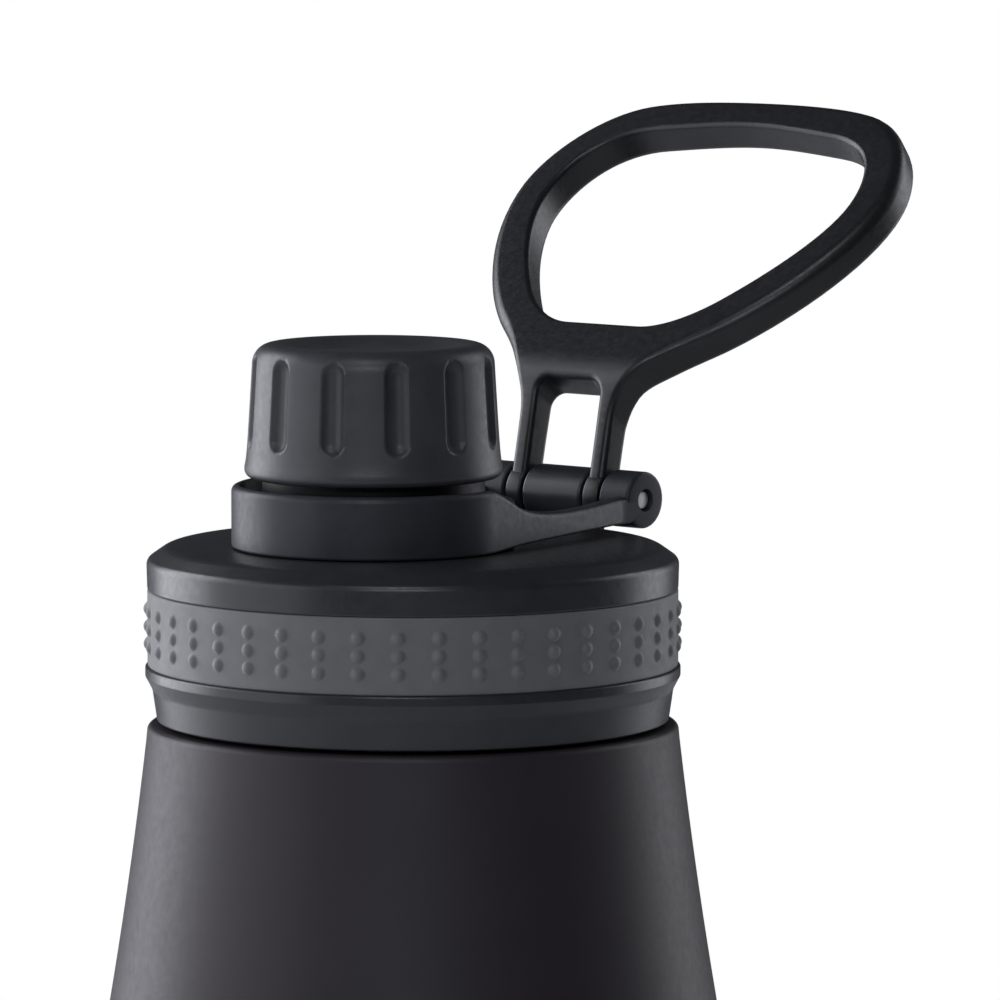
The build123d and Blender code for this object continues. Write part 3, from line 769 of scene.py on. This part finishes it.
def make_cap_body():
    """Fluted cap with a shallow dish in its top."""
    low, top = cap_low.z, cap_high.z
    wall = CAP_WALL_R
    side = [(flank(z), z) for z in evenly(low + RIM_H + 0.5, FLANK_TOP, 65)]
    edge_r = side[-1][0]
    crown = []
    for i in range(1, 13):
        angle = pi / 2 * i / 12
        height = FLANK_TOP + (top - FLANK_TOP) * sin(angle)
        crown.append((edge_r - CROWN_ROUND * (1 - cos(angle)), height))
    dish = []
    for i in range(1, 15):
        share = i / 14
        fall = sin(min(1.0, share * 2.2) * pi / 2)
        dish.append((DISH_R * (1 - share), top - DISH_DEPTH * fall))
    outline = soften([
        (wall, low),
        (CAP_R - 0.02, low, RIM_ROUND),
        *side,
        *crown,
        (DISH_R + 0.15, top),
        *dish,
        (0.0, CAP_ROOF),
        (wall, CAP_ROOF),
    ], 10)
    sector = TAU / GROOVES
    half_width = sqrt(GROOVE_R**2 - (GROOVE_R - GROOVE_DEPTH) ** 2)

    def fluted(r, z, angle):
        inner_wall = r < wall + 0.05 and z < CAP_ROOF + 0.1
        if inner_wall or r < DISH_R + 0.5 or z < GROOVE_LOW - 2 or z > top - 0.2:
            return r
        off = (angle - GROOVE_PHASE + sector / 2) % sector - sector / 2
        beyond = max(0.0, GROOVE_LOW - z, z - GROOVE_HIGH)
        away = hypot(off * GROOVE_PATH_R, beyond)
        if away >= half_width:
            return r
        depth = sqrt(GROOVE_R**2 - away**2) - (GROOVE_R - GROOVE_DEPTH)
        return r - depth

    cap = lathe("cap_body", outline, (0.0, SPOUT_Y), GROOVES * 44, fluted, smooth_deg=50)
    place(cap, "cap", "cap", "cap_plastic", "cap_shell", smooth=False)


# ---- Carry handle -------------------------------------------------------------------------------
LEG_LEAN = radians(11.9)
LOOP_LEAN = radians(51.0)
SLOT_LEAN = radians(40.6)
LEG_T = 4.0
LOOP_T = 4.7
LEG_AT = Vector((28.5, 226.0))   # (y, z) on the legs' front face
LOOP_AT = Vector((28.7, 237.7))  # (y, z) on the loop's front face, where the outline's height is zero
LEG_DROP = 3.2                   # legs below LEG_AT, into their eyes
BEND_R = 7.0
EYE_IN, EYE_OUT = 5.3, 7.8
SLOT_TOP = 2.35
SLOT_ROUND = 2.1
BACK_ROUND = 0.9
OPENING_ROUND = 0.7      # front edge of the opening
LEG_ROUND = 0.8          # front edge of the legs, which grows to LOOP_ROUND on the loop
LOOP_ROUND = 1.6
ROUND_STEPS = 5
INNER_BEND = 1.2         # how softly the back faces of legs and loop run together
CUT_STEP = 0.6           # spacing of the cuts that let the flat handle bend
CUT_TOP = 9.0

# Right half of the loop, as cubic curves in (across, up the front face)
LOOP_OUTER = [
    [(7.8, -3.0), (7.8, 2.4), (11.2, 5.9), (17.3, 11.0)],
    [(17.3, 11.0), (22.6, 15.4), (31.2, 27.0), (31.2, 37.6)],
    [(31.2, 37.6), (31.2, 44.5), (26.3, 52.6), (19.0, 54.7)],
    [(19.0, 54.7), (14.0, 56.1), (7.0, 56.4), (0.0, 56.4)],
]
LOOP_INNER = [
    [(0.0, 11.95), (2.0, 11.95), (4.0, 11.95), (6.0, 11.95)],
    [(6.0, 11.95), (9.5, 11.95), (13.2, 14.4), (15.8, 17.4)],
    [(15.8, 17.4), (19.0, 21.1), (25.6, 30.0), (25.6, 36.8)],
    [(25.6, 36.8), (25.6, 42.8), (22.4, 48.6), (15.0, 49.6)],
    [(15.0, 49.6), (10.1, 50.3), (5.0, 51.1), (0.0, 51.1)],
]


def along(lean):
    return Vector((sin(lean), cos(lean)))


def backwards(lean):
    return Vector((cos(lean), -sin(lean)))


def bend_lines():
    """Where the front faces of the legs and the loop meet, as distances along each."""
    leg, loop = along(LEG_LEAN), along(LOOP_LEAN)
    gap = LOOP_AT - LEG_AT
    scale = leg.x * loop.y - leg.y * loop.x
    on_leg = (gap.x * loop.y - gap.y * loop.x) / scale
    meet = LEG_AT + leg * on_leg
    return on_leg, (meet - LOOP_AT).dot(loop)


ON_LEG, ON_LOOP = bend_lines()
BEND_ANGLE = LOOP_LEAN - LEG_LEAN
BEND_REACH = BEND_R * tan(BEND_ANGLE / 2)
BEND_END = ON_LOOP + BEND_REACH
BEND_START = BEND_END - BEND_R * BEND_ANGLE
LEG_FOOT = BEND_START - (ON_LEG - BEND_REACH) - LEG_DROP


def front_point(s):
    """Point (y, z) of the front face at distance s up it."""
    start = LEG_AT + along(LEG_LEAN) * (ON_LEG - BEND_REACH)
    if s >= BEND_END:
        return LOOP_AT + along(LOOP_LEAN) * s
    if s <= BEND_START:
        return start + along(LEG_LEAN) * (s - BEND_START)
    lean = LEG_LEAN + (s - BEND_START) / BEND_R
    return start + (backwards(LEG_LEAN) - backwards(lean)) * BEND_R


def through(s):
    """Direction (y, z) from the front face to the back face at distance s up the front."""
    if s < SLOT_TOP:
        return backwards(LEG_LEAN + (SLOT_LEAN - LEG_LEAN) * ease((s + 9) / 9))
    return backwards(SLOT_LEAN + (LOOP_LEAN - SLOT_LEAN) * ease((s - SLOT_TOP) / 5.5))


def bent(flat):
    """Point of the flat handle (across, up, height over its middle) in its bent place."""
    x, s, height = flat
    front = front_point(s)
    way = through(s)
    leg, loop = backwards(LEG_LEAN), backwards(LOOP_LEAN)
    to_leg = (LEG_T - (front - LEG_AT).dot(leg)) / way.dot(leg)
    to_loop = (LOOP_T - (front - LOOP_AT).dot(loop)) / way.dot(loop)
    back = 0.5 * (to_leg + to_loop + hypot(to_leg - to_loop, INNER_BEND))
    depth = LOOP_T / 2 - height if height > 0 else back - LOOP_T / 2 - height
    at = front + way * depth
    return Vector((x, at.x, at.y))


def bezier(curves, steps=16):
    """Points along joined cubic curves."""
    out = [Vector(curves[0][0])]
    for curve in curves:
        a, b, c, d = (Vector(point) for point in curve)
        for i in range(1, steps + 1):
            t = i / steps
            u = 1 - t
            out.append(a * u**3 + b * 3 * u * u * t + c * 3 * u * t * t + d * t**3)
    return out


def handle_outline():
    """Closed outline of the flat handle with the slot between its legs, anticlockwise."""
    right = bezier(LOOP_OUTER)
    left = [Vector((-p.x, p.y)) for p in reversed(right[:-1])]
    low = LEG_FOOT
    return divide(soften([
        (EYE_IN, low),
        (EYE_OUT, low),
        *right,
        *left,
        (-EYE_OUT, low),
        (-EYE_IN, low),
        (-EYE_IN, SLOT_TOP, SLOT_ROUND),
        (EYE_IN, SLOT_TOP, SLOT_ROUND),
    ], 8), 1.5)


def handle_opening():
    """Closed outline of the loop's opening, clockwise."""
    right = bezier(LOOP_INNER)
    left = [Vector((-p.x, p.y)) for p in right[1:-1]]
    return left + list(reversed(right))


def inward(outline):
    """Normals of a closed outline towards its left, lengthened at corners."""
    out = []
    for i, here in enumerate(outline):
        before = (here - outline[i - 1]).normalized()
        after = (outline[(i + 1) % len(outline)] - here).normalized()
        across = Vector((-before.y - after.y, before.x + after.x)).normalized()
        out.append(across / max(0.6, across.dot(Vector((-after.y, after.x)))))
    return out


def edge_rings(outline, front_round):
    """Rounded edge from the front face to the back face, as rings of flat handle points."""
    normals = inward(outline)
    turns = [pi / 2 * k / ROUND_STEPS for k in range(ROUND_STEPS + 1)]
    rings = []
    for turn in turns:
        ring = []
        for point, normal in zip(outline, normals):
            radius = front_round(point)
            at = point + normal * radius * (1 - sin(turn))
            ring.append(Vector((at.x, at.y, LOOP_T / 2 - radius * (1 - cos(turn)))))
        rings.append(ring)
    for turn in reversed(turns):
        ring = []
        for point, normal in zip(outline, normals):
            at = point + normal * BACK_ROUND * (1 - sin(turn))
            ring.append(Vector((at.x, at.y, BACK_ROUND * (1 - cos(turn)) - LOOP_T / 2)))
        rings.append(ring)
    return rings


def outer_round(point):
    """Radius of the front edge at a point of the handle's outline."""
    return LEG_ROUND + (LOOP_ROUND - LEG_ROUND) * ease((point.y - 4) / 8)


def opening_round(point):
    return OPENING_ROUND


def flat_handle():
    """The handle before it is bent: rounded edges and two flat faces."""
    build = bmesh.new()
    rims = {0: [], -1: []}
    for outline, front_round in ((handle_outline(), outer_round), (handle_opening(), opening_round)):
        rings = [[build.verts.new(v) for v in ring] for ring in edge_rings(outline, front_round)]
        count = len(outline)
        for low, high in zip(rings, rings[1:]):
            for i in range(count):
                j = (i + 1) % count
                build.faces.new((low[i], low[j], high[j], high[i]))
        for end, rim in rims.items():
            ring = rings[end]
            rim += [build.edges.get((ring[i], ring[(i + 1) % count])) for i in range(count)]
    for rim in rims.values():
        bmesh.ops.triangle_fill(build, use_beauty=True, edges=rim)
    return build


def make_handle():
    build = flat_handle()
    low, high = LEG_FOOT + 1, CUT_TOP
    for height in evenly(low, high, int((high - low) / CUT_STEP) + 1):
        geometry = build.verts[:] + build.edges[:] + build.faces[:]
        bmesh.ops.bisect_plane(build, geom=geometry, plane_co=(0, height, 0), plane_no=(0, 1, 0))
    for vert in build.verts:
        vert.co = bent(vert.co) * MM
    mesh = bpy.data.meshes.new("carry_loop")
    build.to_mesh(mesh)
    build.free()
    handle = bpy.data.objects.new("carry_loop", mesh)
    bpy.context.scene.collection.objects.link(handle)
    tidy(handle, 32)
    eye = soften([
        (EYE_BORE_R, EYE_IN),
        (KNUCKLE_R, EYE_IN, 0.35),
        (KNUCKLE_R, EYE_OUT, 0.35),
        (EYE_BORE_R, EYE_OUT),
    ])
    for side in (1, -1):
        combine(handle, along_x("eye", eye, HINGE, side=side))
    reach = 20.0
    bore = [(0.0, -reach), (EYE_BORE_R, -reach), (EYE_BORE_R, reach), (0.0, reach)]
    combine(handle, along_x("bore", bore, HINGE), "DIFFERENCE")
    tidy(handle, 32)
    place(handle, "handle", "handle", "handle_plastic", "carry_handle")


# ---- Carried-over CAD nodes ---------------------------------------------------------------------
CAD_LOOKS = {
    "inner_vessel": "steel",
    "radiation_foil": "copper",
    "outer_base": "base",
    "base_cover": "base",
    "vacuum_plug": "solder",
    "getter": "solder",
    "lid_liner": "liner",
    "lid_insulation": "foam",
    "lid_gasket": "seal",
    # cap_liner takes the near-black sleeve colour, painted shade for the gap under the cap.
    "cap_liner": "shaded_gap_sleeve",
    "cap_gasket": "seal",
    "cap_retaining_ring": "liner",
}


def finish_cad_nodes():
    for node, look in CAD_LOOKS.items():
        paint(frame["nodes"][node], look)


# ---- Studio -------------------------------------------------------------------------------------
CAMERA_TURN = 41.0        # degrees round from the front, towards the bottle's right
CAMERA_REACH = 1.0        # metres from the lid's axis, on the level
CAMERA_HEIGHT = 0.3263
CAMERA_PAN = 0.639        # degrees to the right of the axis
CAMERA_PITCH = -5.8055
LENS = 282.85
LIT_POINT = Vector((0, 0, 0.2))


def round_table(turn, height, reach):
    """Point at a bearing from the camera's own, positive to the right as the camera sees it."""
    bearing = radians(CAMERA_TURN + turn)
    return Vector((reach * sin(bearing), -reach * cos(bearing), height))


def make_camera():
    data = bpy.data.cameras.new("camera")
    data.lens = LENS
    camera = bpy.data.objects.new("camera", data)
    bpy.context.scene.collection.objects.link(camera)
    camera.location = round_table(0, CAMERA_HEIGHT, CAMERA_REACH)
    camera.rotation_euler = (radians(90 + CAMERA_PITCH), 0, radians(CAMERA_TURN - CAMERA_PAN))
    bpy.context.scene.camera = camera


def make_light(name, turn, height, reach, width, tall, power, colour=(1, 1, 1), aim=LIT_POINT):
    data = bpy.data.lights.new(name, "AREA")
    data.shape = "RECTANGLE"
    data.size = width
    data.size_y = tall
    data.energy = power
    data.color = colour
    light = bpy.data.objects.new(name, data)
    bpy.context.scene.collection.objects.link(light)
    light.location = round_table(turn, height, reach)
    light.rotation_euler = (light.location - aim).to_track_quat("Z", "Y").to_euler()


def make_floor():
    verts = [(950 * cos(TAU * i / 96), 950 * sin(TAU * i / 96), -0.02) for i in range(96)]
    floor = mesh_object("floor", verts, [tuple(range(96))])
    finish = Finish("floor_paper", (0.86, 0.86, 0.87), 0.8)
    finish.bump(finish.noise(1.5, 3), 0.02, 0.3)
    floor.data.materials.append(finish.material)


def make_world():
    """White to the camera, and dim to what lights and reflects on the bottle."""
    world = bpy.data.worlds.new("studio")
    bpy.context.scene.world = world
    world.use_nodes = True
    tree = world.node_tree
    seen = tree.nodes["Background"]
    seen.inputs["Color"].default_value = (1, 1, 1, 1)
    seen.inputs["Strength"].default_value = 1.0
    dim = tree.nodes.new("ShaderNodeBackground")
    dim.inputs["Color"].default_value = (0.85, 0.88, 1.0, 1)
    dim.inputs["Strength"].default_value = 0.05
    path = tree.nodes.new("ShaderNodeLightPath")
    mix = tree.nodes.new("ShaderNodeMixShader")
    tree.links.new(path.outputs["Is Camera Ray"], mix.inputs["Fac"])
    tree.links.new(dim.outputs["Background"], mix.inputs[1])
    tree.links.new(seen.outputs["Background"], mix.inputs[2])
    tree.links.new(mix.outputs["Shader"], tree.nodes["World Output"].inputs["Surface"])


def make_studio():
    make_light("left_softbox", -119, 0.30, 1.1, 0.85, 1.5, 18, (0.92, 0.93, 1.0))
    make_light("left_fill", -68, 0.30, 1.1, 0.9, 1.5, 5.5, (0.92, 0.93, 1.0))
    make_light("right_strip", 124, 0.30, 1.1, 0.6, 1.4, 5.5, (0.94, 0.95, 1.0))
    make_light("front_strip", -6, 0.54, 0.75, 0.34, 0.1, 1.1, (0.86, 0.95, 1.0))
    make_light("top_front", -12, 1.05, 0.55, 0.3, 0.16, 1.3, (0.92, 0.95, 1.0))
    make_light("front_fill", 0, 0.30, 1.6, 1.2, 0.8, 0.3, (0.95, 0.95, 1.0))
    make_floor()
    make_world()
    bpy.context.scene.view_settings.view_transform = "Standard"
    bpy.context.scene.view_settings.look = "None"


make_camera()
make_studio()
make_bottle_body()
make_neck()
make_lid_shell()
make_grip_band()
make_spout()
make_pin()
make_collar()
make_cap_body()
make_handle()
finish_cad_nodes()
